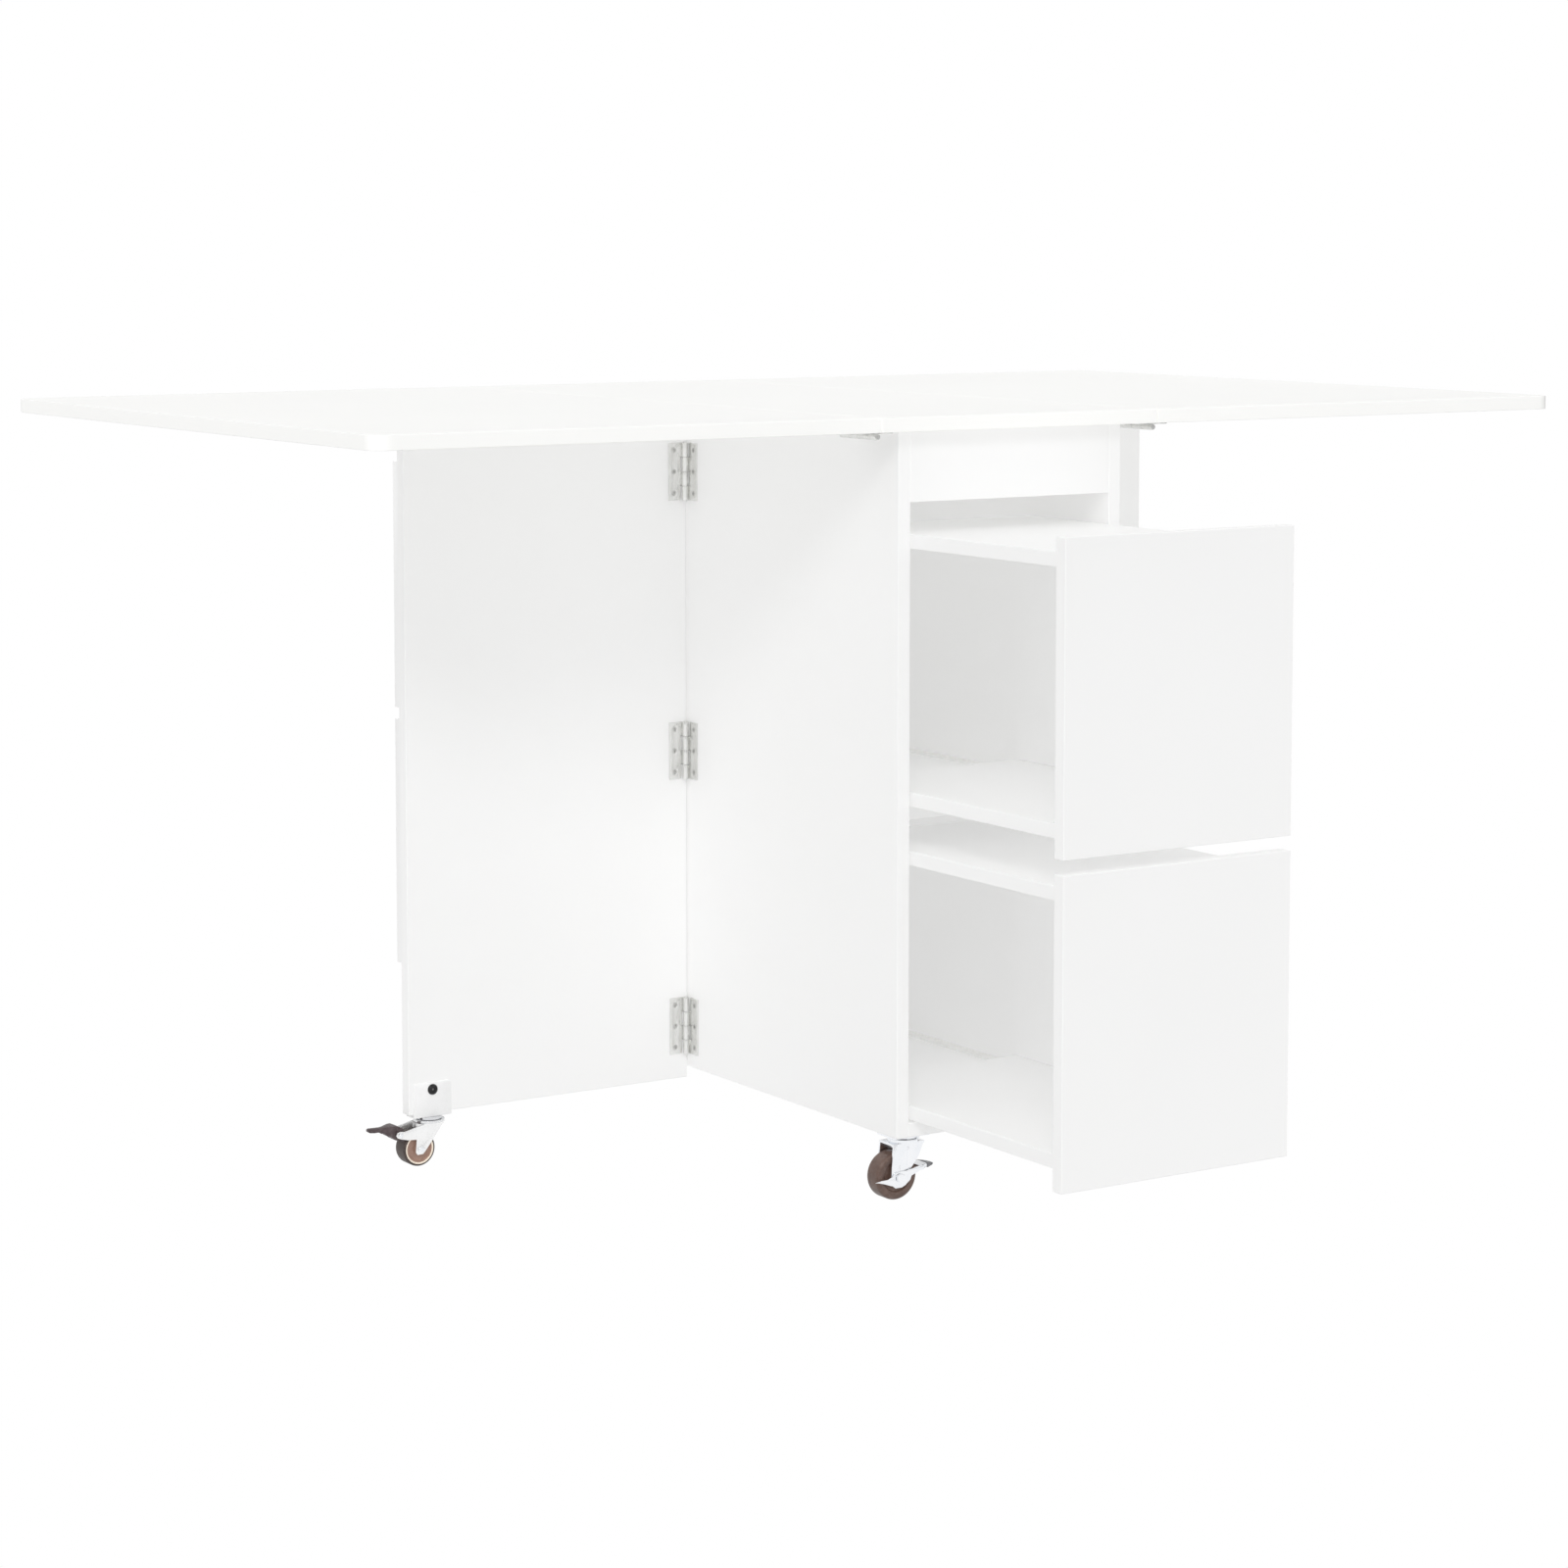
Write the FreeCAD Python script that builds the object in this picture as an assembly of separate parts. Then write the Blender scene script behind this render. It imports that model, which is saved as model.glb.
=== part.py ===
import FreeCAD, Part
import math
import os

# A double-sided drop-leaf sewing table on casters, in millimetres. Origin on the floor under the
# middle of the table, +X along the long side, +Y towards the back, +Z up. The table is shown with
# both gate legs out, both leaves up and its four drawers pulled out. The right side is the left
# side turned half a turn about Z, and the back drawers are the front ones turned the same way.

V = FreeCAD.Vector
ORIGIN = V(0, 0, 0)
UP = V(0, 0, 1)
HALF_TURN = 180.0
OUT = "parts"

# boards
BOARD = 15.0
EASE = 0.6
TOP_LENGTH = 1500.0
TOP_WIDTH = 885.0
TABLE_HEIGHT = 818.5
TOP_CORNER_RADIUS = 20.0
SEAM_X = 177.0
SEAM_GAP = 1.5

# cabinet
CABINET_WIDTH = 286.0
CABINET_DEPTH = 845.0
CABINET_FLOOR = 68.5
SHELF_TOP = 412.0
SHELF_SETBACK = 24.5
APRON_HEIGHT = 73.5

# drawers
DRAWER_OPEN = 268.0
DRAWER_FRONT_HEIGHT = 314.0
DRAWER_FRONT_LOW = {"lower": 71.0, "upper": 400.0}
DRAWER_BOX_WIDTH = 250.0
DRAWER_BOX_HEIGHT = 282.0
DRAWER_BOX_DEPTH = 405.0
DRAWER_LIFT = 3.0
RUNNER_WIDTH = 12.0
RUNNER_GAP = 0.3

# gate legs
LEG_LOW = 56.2
LEG_TOP = 800.0
LEG_END_X = 495.0
LEG_ROOT_GAP = 1.0
PAD_X = 443.0
PAD_LENGTH = 36.0
PAD_GAP = 0.4

# butt hinges
HINGE_HEIGHT = 64.0
HINGE_REACH = 19.0
HINGE_SHEET = 1.5
HINGE_OFFSET = 4.5
KNUCKLE_RADIUS = 3.4
KNUCKLES = 4
KNUCKLE_GAP = 0.3
PIN_RADIUS = 1.3
RUNNING_GAP = 0.06
PLATE_START = 4.0
LEG_HINGE_Z = (116.0, 428.0, 740.0)
LEAF_HINGE_Y = (-402.0, 100.0, 402.0)
SCREW_RISE = (-24.0, 0.0, 24.0)
SCREW_ALONG = 12.5
SCREW_HEAD_RADIUS = 3.1
SCREW_SHANK_RADIUS = 1.5
SCREW_LENGTH = 12.0

# leg caster: its height, trail and wheel, and the white bracket that holds it
LEG_CASTER_X = 467.0
BRACKET_WIDTH = 45.5
BRACKET_SHEET = 1.5
BRACKET_LOW = 52.2
BRACKET_TOP = 90.0
BRACKET_BOLT_Z = 82.0
BRACKET_CORNER = 4.0
SMALL_WHEEL_RADIUS = 19.0
SMALL_WHEEL_WIDTH = 21.0
SMALL_TRAIL = 17.0
SMALL_FORK_INSIDE = 23.4
SMALL_FORK_SHEET = 1.6
SMALL_CROWN_LOW = 44.3
SMALL_CROWN_TOP = 46.3
SMALL_RACE_TOP = 49.0
SMALL_AXLE_RADIUS = 2.5
SMALL_PEDAL_PIVOT = (41.8, 37.5)

# cabinet caster
PLATE_SIZE_X = 46.0
PLATE_SIZE_Y = 34.0
PLATE_SHEET = 2.5
PLATE_CENTRE_X = 118.0
PLATE_CENTRE_Y = 398.5
BIG_WHEEL_RADIUS = 25.0
BIG_WHEEL_WIDTH = 21.5
BIG_TRAIL = 15.0
BIG_FORK_INSIDE = 23.0
BIG_FORK_SHEET = 2.0
BIG_CROWN_LOW = 57.5
BIG_CROWN_TOP = 60.0
BIG_RACE_TOP = 63.0
BIG_AXLE_RADIUS = 3.0
PEDAL_ARM_INSIDE = 28.2
PEDAL_ARM_SHEET = 1.5

# worked out from the dimensions above
TOP_LOW = TABLE_HEIGHT - BOARD
SIDE_OUT = CABINET_WIDTH / 2
SIDE_IN = SIDE_OUT - BOARD
CABINET_FRONT = -CABINET_DEPTH / 2
BOX_HALF = DRAWER_BOX_WIDTH / 2
BAY_FLOOR = {"lower": CABINET_FLOOR + BOARD, "upper": SHELF_TOP}
LEG_FACE_Y = -BOARD / 2
LEG_HINGE_AXIS = (-SIDE_OUT - HINGE_OFFSET, LEG_FACE_Y - HINGE_OFFSET)


def box(x, y, z):
    """A block between the low and high value given for each axis."""
    return Part.makeBox(x[1] - x[0], y[1] - y[0], z[1] - z[0], V(x[0], y[0], z[0]))


def board(x, y, z):
    """A board with its sharp edges eased."""
    shape = box(x, y, z)
    return shape.makeFillet(EASE, shape.Edges)


def rod(radius, start, end):
    """A round bar from one point to another."""
    return Part.makeCylinder(radius, (end - start).Length, start, end - start)


def cross_rod(radius, u, z, y_low, y_high):
    """A round bar along Y through the point (u, z)."""
    return rod(radius, V(u, y_low, z), V(u, y_high, z))


def plate(outline, y_low, y_high):
    """A flat plate with an outline of (x, z) points, between two heights along Y."""
    points = [V(x, y_low, z) for x, z in outline]
    face = Part.Face(Part.makePolygon(points + points[:1]))
    return face.extrude(V(0, y_high - y_low, 0))


def plan_plate(outline, z_low, z_high):
    """A flat plate with an outline of (x, y) points, between two heights along Z."""
    points = [V(x, y, z_low) for x, y in outline]
    face = Part.Face(Part.makePolygon(points + points[:1]))
    return face.extrude(V(0, 0, z_high - z_low))


def joined(shapes):
    """One solid made of several that touch or overlap."""
    return shapes[0].fuse(shapes[1:]).removeSplitter()


def turned(shape, angle, x=0.0, y=0.0):
    """A copy turned about Z, then moved to x, y."""
    copy = shape.copy()
    copy.rotate(ORIGIN, UP, angle)
    copy.translate(V(x, y, 0))
    return copy


def edges_near(shape, test):
    """The edges whose middle passes a test."""
    return [edge for edge in shape.Edges if test(edge.CenterOfMass)]


def save(name, shapes):
    """Write one node: a single solid, or a group of separate ones."""
    solids = shapes if isinstance(shapes, list) else [shapes]
    shape = solids[0] if len(solids) == 1 else Part.makeCompound(solids)
    shape.exportStep(os.path.join(OUT, name + ".step"))


# ---------------------------------------------------------------- cabinet and top

def save_cabinet():
    depth = (CABINET_FRONT, -CABINET_FRONT)
    inside = (-SIDE_IN, SIDE_IN)
    height = (CABINET_FLOOR, TOP_LOW)
    save("side_panel_left", board((-SIDE_OUT, -SIDE_IN), depth, height))
    save("side_panel_right", board((SIDE_IN, SIDE_OUT), depth, height))
    save("bottom_board", board(inside, depth, (CABINET_FLOOR, CABINET_FLOOR + BOARD)))
    save("centre_partition", board(inside, (-BOARD / 2, BOARD / 2), (CABINET_FLOOR + BOARD, TOP_LOW)))
    shelf = board(inside, (CABINET_FRONT + SHELF_SETBACK, -BOARD / 2), (SHELF_TOP - BOARD, SHELF_TOP))
    save("middle_shelves", [shelf, turned(shelf, HALF_TURN)])
    apron = board(inside, (CABINET_FRONT, CABINET_FRONT + BOARD), (TOP_LOW - APRON_HEIGHT, TOP_LOW))
    save("apron_front", apron)
    save("apron_back", turned(apron, HALF_TURN))
    save("drawer_runners", drawer_runners())


def drawer_runners():
    """Low nylon strips that each drawer box slides on, two to a bay."""
    runners = []
    for floor in BAY_FLOOR.values():
        for side in (-1, 1):
            x = sorted((side * SIDE_IN, side * (SIDE_IN - RUNNER_WIDTH)))
            y = (CABINET_FRONT + SHELF_SETBACK, -BOARD)
            runner = box(x, y, (floor, floor + DRAWER_LIFT - RUNNER_GAP))
            runners += [runner, turned(runner, HALF_TURN)]
    return runners


def save_top():
    edge = SEAM_X - SEAM_GAP / 2
    width = (-TOP_WIDTH / 2, TOP_WIDTH / 2)
    save("centre_top", board((-edge, edge), width, (TOP_LOW, TABLE_HEIGHT)))
    leaf = box((-TOP_LENGTH / 2, -SEAM_X - SEAM_GAP / 2), width, (TOP_LOW, TABLE_HEIGHT))
    corners = edges_near(leaf, lambda p: abs(p.z - TOP_LOW - BOARD / 2) < 1 and p.x < -TOP_LENGTH / 2 + 1)
    leaf = leaf.makeFillet(TOP_CORNER_RADIUS, corners)
    rims = edges_near(leaf, lambda p: abs(p.z - TOP_LOW - BOARD / 2) > 1)
    leaf = leaf.makeFillet(EASE, rims)
    save("left_leaf_board", leaf)
    save("right_leaf_board", turned(leaf, HALF_TURN))


# ---------------------------------------------------------------- drawers

def save_drawers():
    for level, low in DRAWER_FRONT_LOW.items():
        out = CABINET_FRONT - BOARD - DRAWER_OPEN
        front = board((-SIDE_OUT, SIDE_OUT), (out, out + BOARD), (low, low + DRAWER_FRONT_HEIGHT))
        parts = {"front": [front], "box": drawer_box(BAY_FLOOR[level] + DRAWER_LIFT, out + BOARD)}
        for part, solids in parts.items():
            save("front_" + level + "_drawer_" + part, solids)
            save("back_" + level + "_drawer_" + part, [turned(s, HALF_TURN) for s in solids])


def drawer_box(low, front):
    """Bottom, top and one side board. The other side and the back are open."""
    y = (front, front + DRAWER_BOX_DEPTH)
    width = (-BOX_HALF, BOX_HALF)
    high = low + DRAWER_BOX_HEIGHT
    return [
        board(width, y, (low, low + BOARD)),
        board(width, y, (high - BOARD, high)),
        board((BOX_HALF - BOARD, BOX_HALF), y, (low + BOARD, high - BOARD)),
    ]


# ---------------------------------------------------------------- hinges and screws

def hinge_leaf(first):
    """A hinge leaf in its own frame: pin along Z, sheet along +X, its back face at y = HINGE_OFFSET.

    The knuckles numbered first, first + 2, ... belong to this leaf.
    """
    low = -HINGE_HEIGHT / 2
    step = HINGE_HEIGHT / KNUCKLES
    sheet_y = (HINGE_OFFSET - HINGE_SHEET, HINGE_OFFSET)
    shapes = [box((PLATE_START, HINGE_REACH), sheet_y, (low, -low))]
    for index in range(first, KNUCKLES, 2):
        z = (low + index * step + KNUCKLE_GAP / 2, low + (index + 1) * step - KNUCKLE_GAP / 2)
        shapes.append(rod(KNUCKLE_RADIUS, V(0, 0, z[0]), V(0, 0, z[1])))
        shapes.append(box((0, PLATE_START + 1), sheet_y, z))
    leaf = joined(shapes)
    leaf = leaf.cut(rod(PIN_RADIUS + RUNNING_GAP, V(0, 0, 2 * low), V(0, 0, -2 * low)))
    for rise in SCREW_RISE:
        leaf = leaf.cut(screw_in_leaf(rise, RUNNING_GAP))
    return leaf


def screw_in_leaf(rise, margin=0.0):
    """One countersunk screw through a hinge leaf, driven along +Y."""
    return screw(V(SCREW_ALONG, HINGE_OFFSET - HINGE_SHEET, rise), V(0, 1, 0), margin)


def screw(head, direction, margin=0.0):
    """A countersunk screw with its flat head at a point, driven along a direction."""
    wide = SCREW_HEAD_RADIUS + margin
    narrow = SCREW_SHANK_RADIUS + margin
    cone = Part.makeCone(wide, narrow, HINGE_SHEET, head, direction)
    return joined([cone, rod(narrow, head, head + direction * SCREW_LENGTH)])


def hinge_pin():
    low = -HINGE_HEIGHT / 2
    pin = rod(PIN_RADIUS, V(0, 0, low), V(0, 0, -low))
    heads = [rod(PIN_RADIUS + 1, V(0, 0, z), V(0, 0, z + 1)) for z in (low - 1, -low)]
    return joined([pin] + heads)


def on_leg_corner(shape, z, on_leg):
    """Put a hinge part in the corner between the left side panel and the left leg's front face."""
    copy = shape.copy()
    if on_leg:
        copy = copy.mirror(ORIGIN, V(1, 0, 0))
    else:
        copy.rotate(ORIGIN, UP, -90.0)
    copy.translate(V(LEG_HINGE_AXIS[0], LEG_HINGE_AXIS[1], z))
    return copy


def under_seam(shape, y, on_leaf):
    """Put a hinge part under the left seam, its pin along Y."""
    copy = shape.copy()
    if on_leaf:
        copy = copy.mirror(ORIGIN, V(1, 0, 0))
    copy.rotate(ORIGIN, V(1, 0, 0), 90.0)
    copy.translate(V(-SEAM_X, y, TOP_LOW - HINGE_OFFSET))
    return copy


def both_sides(shapes):
    return shapes + [turned(shape, HALF_TURN) for shape in shapes]


def save_hinges():
    fixed, moving = hinge_leaf(0), hinge_leaf(1)
    screws = [screw_in_leaf(rise) for rise in SCREW_RISE]
    cabinet_leaves = [on_leg_corner(fixed, z, False) for z in LEG_HINGE_Z]
    leg_leaves = [on_leg_corner(moving, z, True) for z in LEG_HINGE_Z]
    centre_leaves = [under_seam(fixed, y, False) for y in LEAF_HINGE_Y]
    leaf_leaves = [under_seam(moving, y, True) for y in LEAF_HINGE_Y]
    pins = [on_leg_corner(hinge_pin(), z, False) for z in LEG_HINGE_Z]
    pins += [under_seam(hinge_pin(), y, False) for y in LEAF_HINGE_Y]
    save("leg_hinge_cabinet_leaves", both_sides(cabinet_leaves))
    save("top_hinge_centre_leaves", both_sides(centre_leaves))
    save("hinge_pins", both_sides(pins))
    cabinet_screws = [on_leg_corner(s, z, False) for s in screws for z in LEG_HINGE_Z]
    cabinet_screws += [under_seam(s, y, False) for s in screws for y in LEAF_HINGE_Y]
    save("cabinet_screws", both_sides(cabinet_screws) + caster_plate_screws())
    side_groups = {
        "leg_hinges": leg_leaves,
        "leg_screws": [on_leg_corner(s, z, True) for s in screws for z in LEG_HINGE_Z],
        "leaf_hinges": leaf_leaves,
        "leaf_screws": [under_seam(s, y, True) for s in screws for y in LEAF_HINGE_Y],
    }
    for name, shapes in side_groups.items():
        save("left_" + name, shapes)
        save("right_" + name, [turned(shape, HALF_TURN) for shape in shapes])


# ---------------------------------------------------------------- gate legs

def leg_bracket():
    """A U of sheet steel round the foot of the leg, open at the top."""
    low_x = -LEG_CASTER_X - BRACKET_WIDTH / 2
    x = (low_x, low_x + BRACKET_WIDTH)
    outer = BOARD / 2 + BRACKET_SHEET
    cheeks = []
    for y in ((-outer, -BOARD / 2), (BOARD / 2, outer)):
        cheek = box(x, y, (BRACKET_LOW, BRACKET_TOP))
        tops = edges_near(cheek, lambda p: p.z > BRACKET_TOP - 1 and abs(p.x + LEG_CASTER_X) > 1)
        cheeks.append(cheek.makeFillet(BRACKET_CORNER, tops))
    return joined(cheeks + [box(x, (-outer, outer), (BRACKET_LOW, BRACKET_LOW + BRACKET_SHEET))])


def bracket_bolt():
    """A domed bolt through the bracket and the leg, with a hexagonal nut behind."""
    face = -BOARD / 2 - BRACKET_SHEET
    head = cross_rod(5.5, -LEG_CASTER_X, BRACKET_BOLT_Z, face - 2.4, face)
    rim = edges_near(head, lambda p: p.y < face - 2)
    head = head.makeFillet(1.4, rim)
    shank = cross_rod(2.5, -LEG_CASTER_X, BRACKET_BOLT_Z, face, -face + 4)
    corners = [math.radians(60 * i) for i in range(6)]
    nut = plate([(-LEG_CASTER_X + 4.6 * math.cos(a), BRACKET_BOLT_Z + 4.6 * math.sin(a)) for a in corners],
                -face, -face + 3)
    return joined([head, shank, nut])


def save_legs():
    leg = board((-LEG_END_X, -SIDE_OUT - LEG_ROOT_GAP), (-BOARD / 2, BOARD / 2), (LEG_LOW, LEG_TOP))
    pad_x = (-PAD_X - PAD_LENGTH / 2, -PAD_X + PAD_LENGTH / 2)
    pad = box(pad_x, (-5, 5), (LEG_TOP, TOP_LOW - PAD_GAP))
    parts = {
        "leg_panel": leg,
        "leg_support_pad": pad,
        "leg_bracket": leg_bracket(),
        "leg_bracket_bolt": bracket_bolt(),
        "leg_caster_stem": turned(small_stem(), HALF_TURN, -LEG_CASTER_X),
        "leg_caster_fork": turned(small_fork(), HALF_TURN, -LEG_CASTER_X),
        "leg_caster_wheel": turned(small_wheel(), HALF_TURN, -LEG_CASTER_X),
        "leg_caster_pedal": turned(small_pedal(), HALF_TURN, -LEG_CASTER_X),
    }
    for name, shape in parts.items():
        save("left_" + name, shape)
        save("right_" + name, turned(shape, HALF_TURN))


# ---------------------------------------------------------------- leg casters
# Each caster is built about its swivel axis, with its wheel trailing along +X.

def small_stem():
    """The fixed upper race and the king pin that the fork turns on."""
    return joined([
        rod(14.0, V(0, 0, SMALL_RACE_TOP + 0.4), V(0, 0, BRACKET_LOW)),
        rod(4.0, V(0, 0, SMALL_CROWN_LOW - 2.5), V(0, 0, BRACKET_LOW)),
        rod(6.0, V(0, 0, SMALL_CROWN_LOW - 2.5), V(0, 0, SMALL_CROWN_LOW - 0.5)),
    ])


def small_fork():
    """Two cheeks, each with one arm to the axle and one to the pedal's pivot, and the lower race."""
    cheek = [(-11, 46), (1.2, 29.5), (12, 16), (14.5, 13.6), (21, 13.4), (23, 16), (21.8, 30.3), (32.8, 31.1),
             (41, 33.2), (44.6, 34.6), (46.3, 37.5), (44.6, 40.6), (41.4, 41.4), (35.7, 40.4), (12, 46)]
    inner = SMALL_FORK_INSIDE / 2
    outer = inner + SMALL_FORK_SHEET
    pivot_u, pivot_z = SMALL_PEDAL_PIVOT
    shapes = [plate(cheek, -outer, -inner), plate(cheek, inner, outer)]
    shapes.append(box((-11, 12), (-outer, outer), (SMALL_CROWN_LOW, SMALL_CROWN_TOP)))
    shapes.append(rod(16.8, V(0, 0, SMALL_CROWN_LOW + 1), V(0, 0, SMALL_RACE_TOP)))
    shapes.append(cross_rod(SMALL_AXLE_RADIUS, SMALL_TRAIL, SMALL_WHEEL_RADIUS, -outer - 1, outer + 1))
    shapes.append(cross_rod(1.8, pivot_u, pivot_z, -outer - 0.8, outer + 0.8))
    for side in (-1, 1):
        face = sorted((side * outer, side * (outer + 1.2)))
        shapes.append(cross_rod(3.6, SMALL_TRAIL, SMALL_WHEEL_RADIUS, *face))
        shapes.append(cross_rod(2.6, pivot_u, pivot_z, *face))
    fork = joined(shapes)
    return fork.cut(rod(4.0 + RUNNING_GAP, V(0, 0, 0), V(0, 0, BRACKET_LOW)))


def wheel(radius, width, trail, bore, shoulder, boss):
    """A wheel with rounded shoulders, and a hub boss a little wider than its tread."""
    tread = cross_rod(radius, trail, radius, -width / 2, width / 2)
    tread = tread.makeFillet(shoulder, edges_near(tread, lambda p: abs(p.y) > width / 2 - 0.1))
    hub = cross_rod(bore * 2.2, trail, radius, -boss / 2, boss / 2)
    hole = cross_rod(bore + RUNNING_GAP, trail, radius, -boss, boss)
    return joined([tread, hub]).cut(hole)


def small_wheel():
    return wheel(SMALL_WHEEL_RADIUS, SMALL_WHEEL_WIDTH, SMALL_TRAIL, SMALL_AXLE_RADIUS, 2.0,
                 SMALL_FORK_INSIDE - 0.6)


def small_pedal():
    """A brake lever between the cheeks: its inner lobe presses on the tread when the tip goes down."""
    side = [(34.5, 28.5), (39, 30), (45, 31.6), (49.5, 36), (52.5, 36), (56, 39.6), (59, 39.4), (62, 41.4),
            (67, 41.2), (72.5, 41.8), (74.5, 43), (74.5, 45), (73, 46), (60, 45.6), (51, 46.4), (43, 46.8),
            (36, 43.6), (34, 36)]
    plan = [(33, -9), (46.5, -9), (56.5, -3.6), (75, -3), (75, 3), (56.5, 3.6), (46.5, 9), (33, 9)]
    lever = plate(side, -10, 10).common(plan_plate(plan, 20, 50))
    pivot_u, pivot_z = SMALL_PEDAL_PIVOT
    return lever.cut(cross_rod(1.8 + RUNNING_GAP, pivot_u, pivot_z, -12, 12))


# ---------------------------------------------------------------- cabinet casters

def caster_spots():
    """Name, turn and place of the four cabinet casters. All four wheels trail along -X."""
    for end, y in (("front", -PLATE_CENTRE_Y), ("back", PLATE_CENTRE_Y)):
        for side, x in (("left", -PLATE_CENTRE_X), ("right", PLATE_CENTRE_X)):
            yield end + "_" + side, x, y


def caster_plate():
    """The screwed plate with its fixed race and king pin."""
    size = (PLATE_SIZE_X / 2, PLATE_SIZE_Y / 2)
    sheet = box((-size[0], size[0]), (-size[1], size[1]), (CABINET_FLOOR - PLATE_SHEET, CABINET_FLOOR))
    sheet = sheet.makeFillet(3.0, edges_near(sheet, lambda p: abs(p.x) > size[0] - 1 and abs(p.y) > size[1] - 1))
    stem = joined([
        sheet,
        rod(15.0, V(0, 0, BIG_RACE_TOP + 0.4), V(0, 0, CABINET_FLOOR - PLATE_SHEET)),
        rod(5.0, V(0, 0, BIG_CROWN_LOW - 3.5), V(0, 0, CABINET_FLOOR - PLATE_SHEET)),
        rod(8.0, V(0, 0, BIG_CROWN_LOW - 3.5), V(0, 0, BIG_CROWN_LOW - 0.5)),
    ])
    for x, y in plate_screw_places():
        stem = stem.cut(screw(V(x, y, CABINET_FLOOR - PLATE_SHEET), UP, RUNNING_GAP))
    return stem


def plate_screw_places():
    for x in (-PLATE_SIZE_X / 2 + 4.8, PLATE_SIZE_X / 2 - 4.8):
        for y in (-PLATE_SIZE_Y / 2 + 4.8, PLATE_SIZE_Y / 2 - 4.8):
            yield x, y


def caster_plate_screws():
    return [screw(V(x + px, y + py, CABINET_FLOOR - PLATE_SHEET), UP)
            for _, x, y in caster_spots() for px, py in plate_screw_places()]


def big_fork():
    """Two tapered cheeks with a pressed rib, the crown and the lower race, and the axle bolt."""
    cheek = [(-17.5, 60), (-10.5, 45), (-1.2, 33), (1.6, 21), (6, 15.5), (11, 13.4), (19, 13.4), (23, 16.5),
             (24, 22), (23.6, 36), (21, 60)]
    inner = BIG_FORK_INSIDE / 2
    outer = inner + BIG_FORK_SHEET
    shapes = [plate(cheek, -outer, -inner), plate(cheek, inner, outer)]
    shapes.append(box((-17.5, 21), (-outer, outer), (BIG_CROWN_LOW, BIG_CROWN_TOP)))
    shapes.append(rod(17.0, V(0, 0, BIG_CROWN_LOW + 1), V(0, 0, BIG_RACE_TOP)))
    bolt_end = PEDAL_ARM_INSIDE / 2 + PEDAL_ARM_SHEET + 0.4
    shapes.append(cross_rod(BIG_AXLE_RADIUS, BIG_TRAIL, BIG_WHEEL_RADIUS, -bolt_end - 1, bolt_end + 1))
    corners = [math.radians(60 * i + 30) for i in range(6)]
    head = [(BIG_TRAIL + 5 * math.cos(a), BIG_WHEEL_RADIUS + 5 * math.sin(a)) for a in corners]
    for side in (-1, 1):
        shapes.append(plate(head, *sorted((side * bolt_end, side * (bolt_end + 3)))))
        rib = sorted((side * outer, side * (outer + 0.45)))
        shapes.append(box((2.2, 4.6), rib, (36, 56)))
    fork = joined(shapes)
    return fork.cut(rod(5.0 + RUNNING_GAP, V(0, 0, 0), V(0, 0, CABINET_FLOOR)))


def big_wheel():
    return wheel(BIG_WHEEL_RADIUS, BIG_WHEEL_WIDTH, BIG_TRAIL, BIG_AXLE_RADIUS, 3.0, BIG_FORK_INSIDE - 0.6)


def big_pedal():
    """A brake lever with a crescent arm each side of the fork and a foot pad away from the wheel.

    One arm is long enough to be lifted by a toe, and the other ends a little past the axle.
    """
    arm = [(45.6, 23), (38, 24.2), (30, 24.4), (24, 27), (19, 30.6), (13, 31.4), (7, 31), (-11, 34), (-16, 33.4),
           (-16, 29.6), (-11, 29.2), (0, 25), (1.6, 21), (6, 17.5), (12, 15.8), (18, 15.5), (26, 17.3),
           (34, 20.2), (41, 22.2)]
    inner = PEDAL_ARM_INSIDE / 2
    outer = inner + PEDAL_ARM_SHEET
    short_arm = plate(arm, -outer, -inner).common(box((-20, 31), (-outer, -inner), (0, 60)))
    shapes = [short_arm, plate(arm, inner, outer)]
    shapes.append(box((-16, -12), (-outer, outer), (29.6, 33.4)))
    pad_side = [(-16, 29.6), (-26, 29.4), (-35, 30.4), (-36, 31.6), (-30, 33), (-22, 34), (-16, 33.4)]
    pad_plan = [(-15, -11), (-24, -10), (-33, -6), (-36, -3), (-36, 3), (-33, 6), (-24, 10), (-15, 11)]
    shapes.append(plate(pad_side, -12, 12).common(plan_plate(pad_plan, 20, 40)))
    lever = joined(shapes)
    return lever.cut(cross_rod(BIG_AXLE_RADIUS + RUNNING_GAP, BIG_TRAIL, BIG_WHEEL_RADIUS, -30, 30))


def save_cabinet_casters():
    parts = {"fork": big_fork(), "wheel": big_wheel(), "pedal": big_pedal()}
    plates = []
    for name, x, y in caster_spots():
        plates.append(turned(caster_plate(), 0, x, y))
        for part, shape in parts.items():
            save(name + "_caster_" + part, turned(shape, HALF_TURN, x, y))
    save("caster_plates", plates)


def main():
    os.makedirs(OUT, exist_ok=True)
    save_cabinet()
    save_top()
    save_drawers()
    save_hinges()
    save_legs()
    save_cabinet_casters()


main()
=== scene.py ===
import logging
import math
from dataclasses import dataclass, field
from enum import Enum
from typing import Callable, Iterable

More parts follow.
